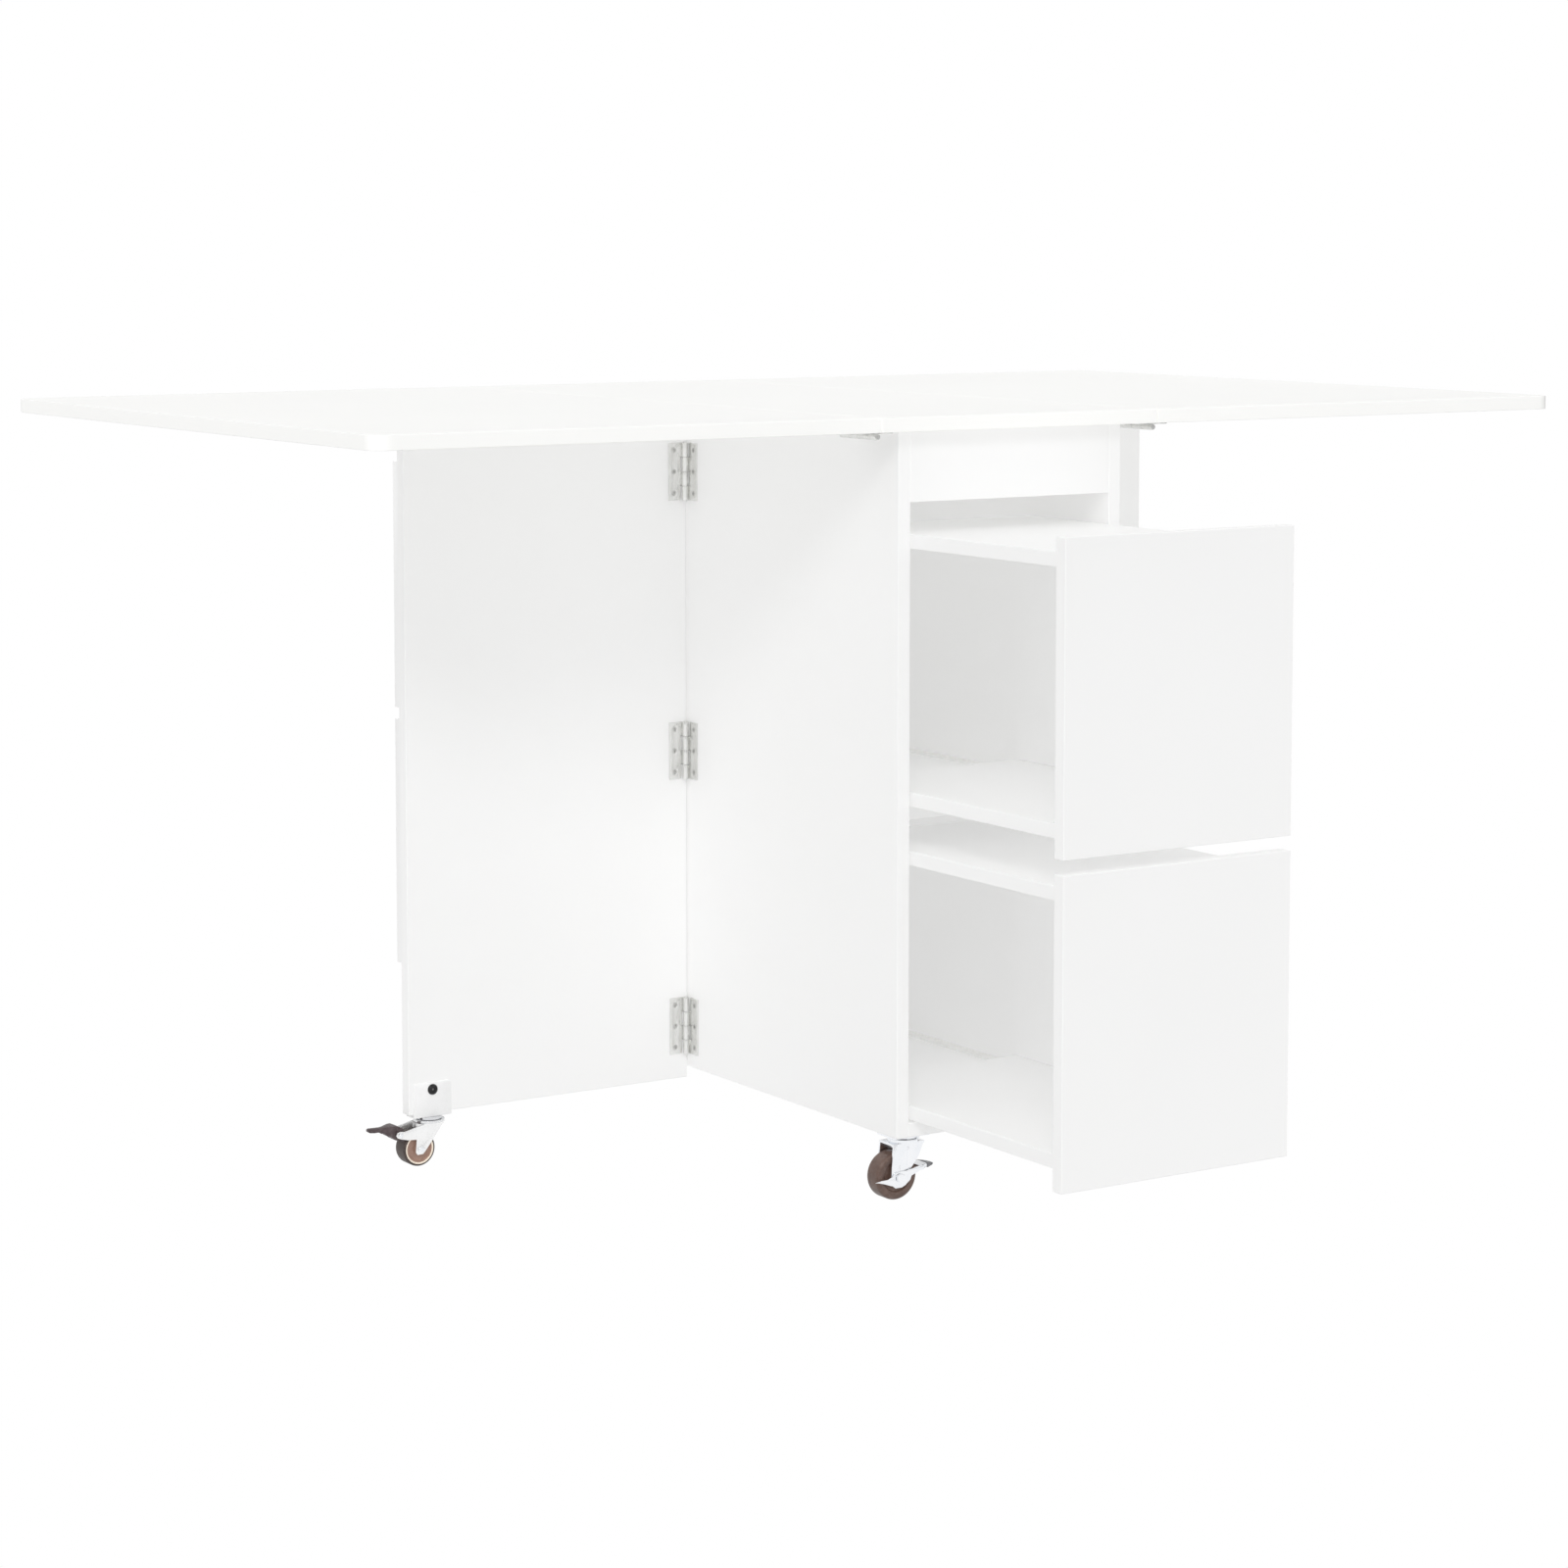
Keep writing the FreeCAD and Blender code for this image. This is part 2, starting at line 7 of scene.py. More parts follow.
import bmesh
import bpy
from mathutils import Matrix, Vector


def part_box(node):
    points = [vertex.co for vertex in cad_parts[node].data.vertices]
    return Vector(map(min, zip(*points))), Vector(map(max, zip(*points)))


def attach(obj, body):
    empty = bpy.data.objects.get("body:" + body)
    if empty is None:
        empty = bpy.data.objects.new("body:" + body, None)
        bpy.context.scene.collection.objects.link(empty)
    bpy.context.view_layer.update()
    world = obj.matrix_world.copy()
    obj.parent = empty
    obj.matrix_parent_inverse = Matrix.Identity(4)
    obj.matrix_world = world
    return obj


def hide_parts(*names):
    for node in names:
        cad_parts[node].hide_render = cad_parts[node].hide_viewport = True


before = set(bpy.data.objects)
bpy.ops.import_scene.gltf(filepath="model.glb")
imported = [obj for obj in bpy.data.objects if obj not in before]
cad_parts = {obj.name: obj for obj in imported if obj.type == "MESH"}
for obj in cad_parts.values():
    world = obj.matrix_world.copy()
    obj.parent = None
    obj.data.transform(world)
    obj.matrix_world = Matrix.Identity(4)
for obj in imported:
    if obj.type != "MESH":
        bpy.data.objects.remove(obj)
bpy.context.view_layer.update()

logging.basicConfig(level=logging.INFO, format="%(message)s")
LOG = logging.getLogger("sewing_table")

MM = 0.001
WELD_GAP = 0.004 * MM
LATHE_WELD_GAP = 0.001 * MM

# Angles in degrees: faces this flat become one, and edges sharper than the rest are rounded
# or stay sharp in the shading.
FLAT_ANGLE = 1.0
ROUNDED_ANGLE = 40.0
PRESSED_SMOOTH = 35.0
TURNED_SMOOTH = 32.0
SCREW_SMOOTH = 30.0

# The part of a noise pattern's range that is spread between two tones, and its finer layers.
PATTERN_MIDDLE = (0.3, 0.7)
DRIFT_DETAIL = 4.0
GRAIN_DETAIL = 3.0
COAT_ROUGHNESS = 0.12

Colour = tuple[float, float, float]
Profile = list[tuple[float, float]]
Stops = tuple[tuple[float, float], ...]


class Side(Enum):
    """The two hands of the table."""

    LEFT = "left"
    RIGHT = "right"

    @property
    def sign(self) -> int:
        """-1 on the left and +1 on the right."""
        return -1 if self is Side.LEFT else 1


class End(Enum):
    """The two ends of the cabinet that carry drawers."""

    FRONT = "front"
    BACK = "back"


# ---------------------------------------------------------------- finishes


class NodeSheet:
    """A material's node tree, with short calls for the nodes used here."""

    def __init__(self, name: str) -> None:
        """Start a material with an empty tree.

        Args:
            name: The material's name.
        """
        self.material = bpy.data.materials.new(name)
        self.material.use_nodes = True
        self.tree = self.material.node_tree
        self.tree.nodes.clear()
        self.output = self.tree.nodes.new("ShaderNodeOutputMaterial")
        self.shader = self.tree.nodes.new("ShaderNodeBsdfPrincipled")
        self.link(self.shader.outputs["BSDF"], self.output.inputs["Surface"])
        self.place = self.tree.nodes.new("ShaderNodeTexCoord").outputs["Object"]

    def link(self, start: bpy.types.NodeSocket, end: bpy.types.NodeSocket) -> None:
        """Join two sockets."""
        self.tree.links.new(start, end)

    def mapped(self, stretch: Colour, centre: Vector | None = None) -> bpy.types.NodeSocket:
        """Object coordinates, moved to a centre and stretched.

        Args:
            stretch: Factor along each axis.
            centre: Point that becomes the origin, or None to leave it.

        Returns:
            The socket with the new coordinates.
        """
        node = self.tree.nodes.new("ShaderNodeMapping")
        if centre is not None:
            node.inputs["Location"].default_value = [-c * s for c, s in zip(centre, stretch)]
        node.inputs["Scale"].default_value = stretch
        self.link(self.place, node.inputs["Vector"])
        return node.outputs["Vector"]

    def noise(self, scale: float, detail: float,
              where: bpy.types.NodeSocket | None = None) -> bpy.types.NodeSocket:
        """A noise pattern.

        Args:
            scale: Patches per metre.
            detail: Number of finer layers.
            where: Coordinates, or None for the object's own.

        Returns:
            The socket with the pattern's value.
        """
        node = self.tree.nodes.new("ShaderNodeTexNoise")
        node.inputs["Scale"].default_value = scale
        node.inputs["Detail"].default_value = detail
        self.link(where or self.place, node.inputs["Vector"])
        return node.outputs["Fac"]

    def blend(self, factor: bpy.types.NodeSocket, low: Colour, high: Colour) -> bpy.types.NodeSocket:
        """A colour between two, spread over the middle of a pattern.

        Args:
            factor: The pattern.
            low: Colour where the pattern is low.
            high: Colour where it is high.

        Returns:
            The socket with the colour.
        """
        node = self.tree.nodes.new("ShaderNodeValToRGB")
        ends = node.color_ramp.elements
        for end, position, colour in zip(ends, PATTERN_MIDDLE, (low, high)):
            end.position, end.color = position, (*colour, 1.0)
        self.link(factor, node.inputs["Fac"])
        return node.outputs["Color"]

    def spread(self, factor: bpy.types.NodeSocket, low: float, high: float) -> bpy.types.NodeSocket:
        """A number between two, spread over the middle of a pattern.

        Args:
            factor: The pattern.
            low: Value where the pattern is low.
            high: Value where it is high.

        Returns:
            The socket with the number.
        """
        node = self.tree.nodes.new("ShaderNodeMapRange")
        node.inputs["From Min"].default_value, node.inputs["From Max"].default_value = PATTERN_MIDDLE
        node.inputs["To Min"].default_value = low
        node.inputs["To Max"].default_value = high
        self.link(factor, node.inputs["Value"])
        return node.outputs["Result"]

    def relief(self, height: bpy.types.NodeSocket, depth: float) -> None:
        """Let a pattern stand out of the surface.

        Args:
            height: The pattern.
            depth: Its height in metres.
        """
        node = self.tree.nodes.new("ShaderNodeBump")
        node.inputs["Distance"].default_value = depth
        node.inputs["Strength"].default_value = 1.0
        self.link(height, node.inputs["Height"])
        self.link(node.outputs["Normal"], self.shader.inputs["Normal"])

    def mixed(self, method: str = "MIX") -> bpy.types.Node:
        """A node that mixes two colours, its sockets still to be set."""
        node = self.tree.nodes.new("ShaderNodeMix")
        node.data_type = "RGBA"
        node.blend_type = method
        return node


@dataclass(frozen=True)
class Finish:
    """A surface with slow colour drift, a fine grain and a roughness that follows the grain."""

    name: str
    slot: str
    low: Colour
    high: Colour
    roughness: tuple[float, float]
    metallic: float = 0.0
    drift: float = 6.0
    grain: float = 700.0
    stretch: Colour = (1.0, 1.0, 1.0)
    depth: float = 0.00001
    coat: float = 0.0
    gloss: float = 0.5

    def material(self) -> bpy.types.Material:
        """The finish's material, built on first use."""
        known = bpy.data.materials.get(self.name)
        return known or self.build(NodeSheet(self.name))

    def build(self, sheet: NodeSheet) -> bpy.types.Material:
        """Fill a node sheet with this finish.

        Args:
            sheet: An empty node sheet.

        Returns:
            The finished material.
        """
        grain = sheet.noise(self.grain, GRAIN_DETAIL, sheet.mapped(self.stretch))
        sheet.link(self.tint(sheet), sheet.shader.inputs["Base Color"])
        sheet.link(sheet.spread(grain, *self.roughness), sheet.shader.inputs["Roughness"])
        sheet.relief(grain, self.depth)
        sheet.shader.inputs["Metallic"].default_value = self.metallic
        sheet.shader.inputs["Specular IOR Level"].default_value = self.gloss
        sheet.shader.inputs["Coat Weight"].default_value = self.coat
        sheet.shader.inputs["Coat Roughness"].default_value = COAT_ROUGHNESS
        return sheet.material

    def tint(self, sheet: NodeSheet) -> bpy.types.NodeSocket:
        """The finish's colour: a slow drift between its two tones."""
        return sheet.blend(sheet.noise(self.drift, DRIFT_DETAIL), self.low, self.high)


@dataclass(frozen=True)
class Melamine(Finish):
    """White laminate pressed on board: a fine pearl texture over a cloudy, nearly even white."""

    speckle_scale: float = 2600.0
    speckle_detail: float = 2.0
    speckle_tone: float = 0.985

    def tint(self, sheet: NodeSheet) -> bpy.types.NodeSocket:
        """Cloudy white with a trace of fine speckle."""
        cloud = super().tint(sheet)
        speckle = sheet.blend(sheet.noise(self.speckle_scale, self.speckle_detail),
                              (self.speckle_tone,) * 3, (1.0,) * 3)
        mix = sheet.mixed("MULTIPLY")
        mix.inputs["Factor"].default_value = 1.0
        sheet.link(cloud, mix.inputs["A"])
        sheet.link(speckle, mix.inputs["B"])
        return mix.outputs["Result"]


@dataclass(frozen=True)
class RolledRubber(Finish):
    """Rubber or soft plastic with dusty scuffs where it has rolled."""

    dust: Colour = (0.2, 0.17, 0.15)
    scuff_scale: float = 260.0
    scuff_detail: float = 6.0
    scuff_range: tuple[float, float] = (-0.35, 0.4)

    def tint(self, sheet: NodeSheet) -> bpy.types.NodeSocket:
        """The rubber's own drift, with pale scuffs on the high spots of a coarse pattern."""
        base = super().tint(sheet)
        scuffs = sheet.spread(sheet.noise(self.scuff_scale, self.scuff_detail), *self.scuff_range)
        mix = sheet.mixed()
        mix.inputs["B"].default_value = (*self.dust, 1.0)
        sheet.link(scuffs, mix.inputs["Factor"])
        sheet.link(base, mix.inputs["A"])
        return mix.outputs["Result"]


BOARD_WHITE = Melamine(
    "pressed_white_laminate", "white_board", (0.886, 0.886, 0.882), (0.9, 0.9, 0.898), (0.36, 0.44),
    drift=3.0, grain=1500.0, depth=0.000006, gloss=0.28)
# The same laminate as the boards, painted lighter and warmer for the top and the leaves: painted light
# from above.
TOP_WHITE_PAINTED_LIGHTER = Melamine(
    "worktop_laminate_painted_lighter", "white_board", (0.935, 0.935, 0.92), (0.95, 0.95, 0.935), (0.34, 0.42),
    drift=3.0, grain=1500.0, depth=0.000006, gloss=0.28)
POWDER_WHITE = Finish(
    "white_powder_coat", "white_metal", (0.86, 0.86, 0.86), (0.9, 0.9, 0.9), (0.22, 0.3),
    drift=60.0, grain=1800.0, depth=0.00001, coat=0.3)
ZINC_SHEET = Finish(
    "zinc_sheet", "zinc_steel", (0.78, 0.78, 0.765), (0.84, 0.84, 0.825), (0.22, 0.28),
    metallic=1.0, drift=60.0, grain=900.0, stretch=(1.0, 1.0, 0.12), depth=0.0000015)
SCREW_STEEL = Finish(
    "screw_steel", "zinc_steel", (0.56, 0.56, 0.55), (0.68, 0.68, 0.66), (0.22, 0.32),
    metallic=1.0, drift=200.0, grain=1200.0, depth=0.000002)
# Steel, painted darker than its own tone: painted shade and painted dark reflection on the swivel's
# races.
RACE_STEEL_PAINTED_DARKER = Finish(
    "swivel_race_steel_painted_darker", "bright_zinc", (0.62, 0.63, 0.65), (0.74, 0.75, 0.77), (0.08, 0.16),
    metallic=1.0, drift=120.0, grain=1200.0, depth=0.000002)
BRIGHT_PLATE = Finish(
    "bright_zinc_plate", "bright_zinc", (0.86, 0.88, 0.91), (0.91, 0.92, 0.94), (0.05, 0.12),
    metallic=1.0, drift=60.0, grain=1200.0, depth=0.000001)
SATIN_PLATE = Finish(
    "satin_white_plate", "white_metal", (0.88, 0.88, 0.88), (0.93, 0.93, 0.93), (0.16, 0.26),
    metallic=0.85, drift=60.0, grain=1500.0, depth=0.0000015)
TYRE_BROWN = RolledRubber(
    "dark_brown_tyre", "dark_tyre", (0.036, 0.024, 0.02), (0.06, 0.042, 0.035), (0.42, 0.6),
    drift=120.0, grain=1400.0, depth=0.00004, dust=(0.12, 0.1, 0.09))
WHEEL_BROWN = RolledRubber(
    "brown_moulded_wheel", "brown_wheel", (0.082, 0.048, 0.037), (0.13, 0.079, 0.062), (0.34, 0.5),
    drift=90.0, grain=1100.0, depth=0.00003, dust=(0.17, 0.12, 0.1))
HUB_COFFEE = Finish(
    "coffee_hub_disc", "dark_tyre", (0.27, 0.165, 0.125), (0.36, 0.225, 0.175), (0.3, 0.42),
    drift=110.0, grain=1000.0, depth=0.00002)
RING_CREAM = Finish(
    "cream_rim", "white_metal", (0.82, 0.72, 0.6), (0.93, 0.83, 0.7), (0.3, 0.4),
    drift=150.0, grain=1000.0, depth=0.00001)
PEDAL_BROWN = RolledRubber(
    "dark_brown_pedal", "dark_plastic", (0.046, 0.031, 0.033), (0.08, 0.056, 0.06), (0.36, 0.5),
    drift=140.0, grain=1300.0, depth=0.00003, dust=(0.16, 0.13, 0.13))
PEDAL_GREY = Finish(
    "grey_pedal_tip", "bright_zinc", (0.13, 0.13, 0.14), (0.2, 0.2, 0.21), (0.4, 0.5),
    drift=140.0, grain=1300.0, depth=0.00003)
BLACK_OXIDE = Finish(
    "black_oxide_steel", "black_metal", (0.008, 0.008, 0.008), (0.022, 0.022, 0.023), (0.22, 0.34),
    metallic=0.4, drift=300.0, grain=1500.0, depth=0.00001)
NYLON = Finish(
    "white_nylon", "nylon", (0.8, 0.8, 0.78), (0.86, 0.86, 0.85), (0.4, 0.5),
    drift=80.0, grain=900.0, depth=0.00002)


# ---------------------------------------------------------------- mesh tools


def placed(name: str, data: bpy.types.ID) -> bpy.types.Object:
    """A new object at the origin, linked to the scene."""
    piece = bpy.data.objects.new(name, data)
    bpy.context.scene.collection.objects.link(piece)
    return piece


def stored(name: str, shape: bmesh.types.BMesh) -> bpy.types.Mesh:
    """A new mesh from a bmesh, which is freed."""
    mesh = bpy.data.meshes.new(name)
    shape.to_mesh(mesh)
    shape.free()
    return mesh


def shown(name: str, mesh: bpy.types.Mesh, finish: Finish) -> bpy.types.Object:
    """A new object with one finish, at the origin.

    Args:
        name: The piece's name.
        mesh: Its mesh, already in place.
        finish: Its surface.

    Returns:
        The object.
    """
    mesh.materials.clear()
    mesh.materials.append(finish.material())
    return placed(name, mesh)


def settle(piece: bpy.types.Object, body: str, nodes: Iterable[str] = ()) -> None:
    """Attach a finished piece to its body and hide the nodes that it replaces.

    Args:
        piece: The piece, in place.
        body: The body that it rides on.
        nodes: The nodes that it replaces.
    """
    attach(piece, body)
    if nodes:
        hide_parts(*nodes)
    LOG.info("piece %s on %s", piece.name, body)


def dress(node: str, finish: Finish) -> None:
    """Give a node its finish and leave its shape alone."""
    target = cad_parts[node].data
    target.materials.clear()
    target.materials.append(finish.material())


def merged(node: str) -> bmesh.types.BMesh:
    """A copy of a node's mesh with its loose triangles joined.

    Args:
        node: The node's name.

    Returns:
        A new bmesh that the caller frees.
    """
    shape = bmesh.new()
    shape.from_mesh(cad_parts[node].data)
    bmesh.ops.remove_doubles(shape, verts=shape.verts, dist=WELD_GAP)
    return shape


def applied(piece: bpy.types.Object) -> bpy.types.Mesh:
    """The mesh that a piece has once its modifiers are worked out. The piece itself is removed."""
    graph = bpy.context.evaluated_depsgraph_get()
    mesh = bpy.data.meshes.new_from_object(piece.evaluated_get(graph))
    bpy.data.objects.remove(piece)
    return mesh


def softened(node: str, name: str, finish: Finish, width: float) -> bpy.types.Object:
    """A copy of a node with its sharp edges rounded, as pressed sheet or moulded plastic has.

    Args:
        node: The node to copy.
        name: The new piece's name.
        finish: Its surface.
        width: The rounding in metres.

    Returns:
        The new piece, not yet attached.
    """
    shape = merged(node)
    flat = math.radians(FLAT_ANGLE)
    bmesh.ops.dissolve_limit(shape, angle_limit=flat, verts=shape.verts, edges=shape.edges)
    draft = shown(name + "_draft", stored(name, shape), finish)
    bevel = draft.modifiers.new("round", "BEVEL")
    bevel.width = width
    bevel.segments = 2
    bevel.limit_method = "ANGLE"
    bevel.angle_limit = math.radians(ROUNDED_ANGLE)
    bevel.use_clamp_overlap = True
    result = applied(draft)
    result.name = name
    smooth(result, PRESSED_SMOOTH)
    return shown(name, result, finish)


def split(mesh: bpy.types.Mesh, point: Vector, outward: Vector) -> None:
    """Cut away what lies beyond a plane, and close the cut.

    Args:
        mesh: The mesh to cut.
        point: A point on the plane.
        outward: Direction of the part that goes.
    """
    shape = bmesh.new()
    shape.from_mesh(mesh)
    everything = shape.verts[:] + shape.edges[:] + shape.faces[:]
    cut = bmesh.ops.bisect_plane(shape, geom=everything, plane_co=point, plane_no=outward,
                                 clear_outer=True)
    rim = [item for item in cut["geom_cut"] if isinstance(item, bmesh.types.BMEdge)]
    bmesh.ops.contextual_create(shape, geom=rim)
    bmesh.ops.recalc_face_normals(shape, faces=shape.faces)
    shape.to_mesh(mesh)
    shape.free()


def smooth(mesh: bpy.types.Mesh, angle: float) -> None:
    """Shade a mesh smooth, but keep edges sharp where they turn by more than an angle in degrees."""
    mesh.shade_smooth()
    shape = bmesh.new()
    shape.from_mesh(mesh)
    limit = math.radians(angle)
    for edge in shape.edges:
        edge.smooth = len(edge.link_faces) == 2 and edge.calc_face_angle(0.0) < limit
    shape.to_mesh(mesh)
    shape.free()


def lathe(name: str, profile: Profile, centre: Vector, axis: str, steps: int = 72) -> bpy.types.Mesh:
    """A closed profile turned about an axis.

    Args:
        name: The mesh's name.
        profile: Points of (radius, distance along the axis) in millimetres.
        centre: The point that the distances are measured from.
        axis: "Y" or "Z".
        steps: Number of steps in a full turn.

    Returns:
        The turned mesh.
    """
    shape = bmesh.new()
    rings = []
    for step in range(steps):
        angle = math.tau * step / steps
        ring = []
        for radius, along in profile:
            across = Vector((radius * math.cos(angle), radius * math.sin(angle))) * MM
            if axis == "Y":
                place = Vector((across.x, along * MM, across.y))
            else:
                place = Vector((across.x, across.y, along * MM))
            ring.append(shape.verts.new(centre + place))
        rings.append(ring)
    for here, there in zip(rings, rings[1:] + rings[:1]):
        for index in range(len(profile)):
            after = (index + 1) % len(profile)
            shape.faces.new((here[index], here[after], there[after], there[index]))
    bmesh.ops.remove_doubles(shape, verts=shape.verts, dist=LATHE_WELD_GAP)
    bmesh.ops.recalc_face_normals(shape, faces=shape.faces)
    mesh = stored(name, shape)
    smooth(mesh, TURNED_SMOOTH)
    return mesh


def mirrored(half: Profile) -> Profile:
    """A profile completed by its own mirror image across distance 0."""
    return half + [(radius, -along) for radius, along in reversed(half)]


def arc(centre: tuple[float, float], radius: float, start: float, stop: float, steps: int) -> Profile:
    """Points round part of a circle.

    Args:
        centre: The circle's centre.
        radius: Its radius.
        start: First angle in degrees.
        stop: Last angle in degrees.
        steps: Number of steps between them.

    Returns:
        The points.
    """
    angles = [math.radians(start + (stop - start) * i / steps) for i in range(steps + 1)]
    return [(centre[0] + radius * math.cos(a), centre[1] + radius * math.sin(a)) for a in angles]


# ---------------------------------------------------------------- screws


@dataclass
class Screws:
    """Countersunk cross-head screws, set by a node tree wherever the frame has one.

    Lengths are in millimetres. Only the head has points beyond head_only from the axis.
    """

    head_radius: float = 3.1
    head_depth: float = 1.5
    shank_radius: float = 1.5
    shank_length: float = 5.0
    slot_length: float = 3.7
    slot_width: float = 0.75
    slot_depth: float = 1.1
    rim: float = 0.12
    head_only: float = 2.6
    seed: int = 7
    nodes: dict[str, str] = field(default_factory=lambda: {
        "cabinet_screws": "cabinet",
        "left_leaf_screws": "left_leaf",
        "right_leaf_screws": "right_leaf",
        "left_leg_screws": "left_leg",
        "right_leg_screws": "right_leg",
    })

    def build(self) -> None:
        """Make one mesh of screws for each body."""
        master = self.master()
        tree = self.tree()
        for node, body in self.nodes.items():
            self.set_on(node, body, master, tree)
        bpy.data.objects.remove(master)

    def master(self) -> bpy.types.Object:
        """One screw with its head at the origin, driven along +Z, with a cross cut in its head."""
        profile = [(0.0, 0.0), (self.head_radius - self.rim, 0.0), (self.head_radius, self.rim),
                   (self.shank_radius, self.head_depth), (self.shank_radius, self.shank_length),
                   (0.0, self.shank_length)]
        turned = lathe("screw_blank", profile, Vector(), "Z", steps=20)
        blank = shown("screw_blank", turned, SCREW_STEEL)
        cutters = []
        for length, width in ((self.slot_length, self.slot_width), (self.slot_width, self.slot_length)):
            shape = bmesh.new()
            bmesh.ops.create_cube(shape, size=1.0)
            size = Vector((length, width, 2 * self.slot_depth)) * MM
            bmesh.ops.scale(shape, vec=size, verts=shape.verts)
            cutters.append(shown("screw_slot", stored("screw_slot", shape), SCREW_STEEL))
            cut = blank.modifiers.new("slot", "BOOLEAN")
            cut.object = cutters[-1]
            cut.operation = "DIFFERENCE"
        mesh = applied(blank)
        for cutter in cutters:
            bpy.data.objects.remove(cutter)
        smooth(mesh, SCREW_SMOOTH)
        return shown("screw_master", mesh, SCREW_STEEL)

    def tree(self) -> bpy.types.NodeTree:
        """The node tree: a screw on each point, turned to its drive direction and spun at random."""
        tree = bpy.data.node_groups.new("screw_rows", "GeometryNodeTree")
        faces = tree.interface
        faces.new_socket("Geometry", in_out="INPUT", socket_type="NodeSocketGeometry")
        faces.new_socket("Screw", in_out="INPUT", socket_type="NodeSocketObject")
        faces.new_socket("Surface", in_out="INPUT", socket_type="NodeSocketMaterial")
        faces.new_socket("Seed", in_out="INPUT", socket_type="NodeSocketInt")
        faces.new_socket("Geometry", in_out="OUTPUT", socket_type="NodeSocketGeometry")
        start, end = tree.nodes.new("NodeGroupInput"), tree.nodes.new("NodeGroupOutput")
        drive = tree.nodes.new("GeometryNodeInputNamedAttribute")
        drive.data_type = "FLOAT_VECTOR"
        drive.inputs["Name"].default_value = "drive"
        align = tree.nodes.new("FunctionNodeAlignRotationToVector")
        align.axis = "Z"
        spin = tree.nodes.new("FunctionNodeRandomValue")
        spin.data_type = "FLOAT"
        spin.inputs["Max"].default_value = math.pi / 2
        turn = tree.nodes.new("FunctionNodeAxisAngleToRotation")
        turn.inputs["Axis"].default_value = (0.0, 0.0, 1.0)
        both = tree.nodes.new("FunctionNodeRotateRotation")
        both.rotation_space = "LOCAL"
        info = tree.nodes.new("GeometryNodeObjectInfo")
        put = tree.nodes.new("GeometryNodeInstanceOnPoints")
        real = tree.nodes.new("GeometryNodeRealizeInstances")
        coat = tree.nodes.new("GeometryNodeSetMaterial")
        spin_value = next(s for s in spin.outputs if s.type == "VALUE")
        for out, into in (
            (drive.outputs["Attribute"], align.inputs["Vector"]),
            (start.outputs["Seed"], spin.inputs["Seed"]),
            (spin_value, turn.inputs["Angle"]),
            (align.outputs["Rotation"], both.inputs["Rotation"]),
            (turn.outputs["Rotation"], both.inputs["Rotate By"]),
            (start.outputs["Screw"], info.inputs["Object"]),
            (start.outputs["Geometry"], put.inputs["Points"]),
            (info.outputs["Geometry"], put.inputs["Instance"]),
            (both.outputs["Rotation"], put.inputs["Rotation"]),
            (put.outputs["Instances"], real.inputs["Geometry"]),
            (real.outputs["Geometry"], coat.inputs["Geometry"]),
            (start.outputs["Surface"], coat.inputs["Material"]),
            (coat.outputs["Geometry"], end.inputs["Geometry"]),
        ):
            tree.links.new(out, into)
        return tree

    def set_on(self, node: str, body: str, master: bpy.types.Object,
               tree: bpy.types.NodeTree) -> None:
        """Put a screw wherever a node has one, and join them in one mesh.

        Args:
            node: The node that holds the screws.
            body: The body that they ride on.
            master: The screw to repeat.
            tree: The node tree that repeats it.
        """
        places = self.places(node)
        points = bpy.data.meshes.new(node + "_points")
        points.from_pydata([head for head, _ in places], [], [])
        drive = points.attributes.new("drive", "FLOAT_VECTOR", "POINT")
        drive.data.foreach_set("vector", [c for _, way in places for c in way])
        holder = placed(node + "_points", points)
        rows = holder.modifiers.new("rows", "NODES")
        rows.node_group = tree
        inputs = {s.name: s.identifier for s in tree.interface.items_tree if s.in_out == "INPUT"}
        rows[inputs["Screw"]] = master
        rows[inputs["Surface"]] = SCREW_STEEL.material()
        rows[inputs["Seed"]] = self.seed
        mesh = applied(holder)
        mesh.name = node + "_set"
        settle(placed(node + "_set", mesh), body, [node])

    def places(self, node: str) -> list[tuple[Vector, Vector]]:
        """The middle of each screw's head and the way that it is driven.

        Args:
            node: The node that holds the screws.

        Returns:
            A head point and a unit direction for each screw.
        """
        shape = merged(node)
        left = set(shape.verts)
        found = []
        while left:
            island, queue = [], [left.pop()]
            while queue:
                vert = queue.pop()
                island.append(vert.co.copy())
                for edge in vert.link_edges:
                    other = edge.other_vert(vert)
                    if other in left:
                        left.remove(other)
                        queue.append(other)
            found.append(self.head_of(island))
        shape.free()
        return sorted(found, key=lambda item: tuple(round(c, 5) for c in item[0]))

    def head_of(self, island: list[Vector]) -> tuple[Vector, Vector]:
        """Read one screw's head point and direction from its points.

        Args:
            island: All points of one screw.

        Returns:
            The head's middle and the unit direction of driving.
        """
        low = Vector([min(p[i] for p in island) for i in range(3)])
        high = Vector([max(p[i] for p in island) for i in range(3)])
        long_axis = max(range(3), key=lambda i: high[i] - low[i])
        middle = (low + high) / 2
        head_points = []
        for point in island:
            across = point - middle
            across[long_axis] = 0.0
            if across.length > self.head_only * MM:
                head_points.append(point[long_axis])
        at_low = sum(head_points) / len(head_points) < middle[long_axis]
        head, way = middle.copy(), Vector()
        head[long_axis] = low[long_axis] if at_low else high[long_axis]
        way[long_axis] = 1.0 if at_low else -1.0
        return head, way


# ---------------------------------------------------------------- boards, hinges and trim


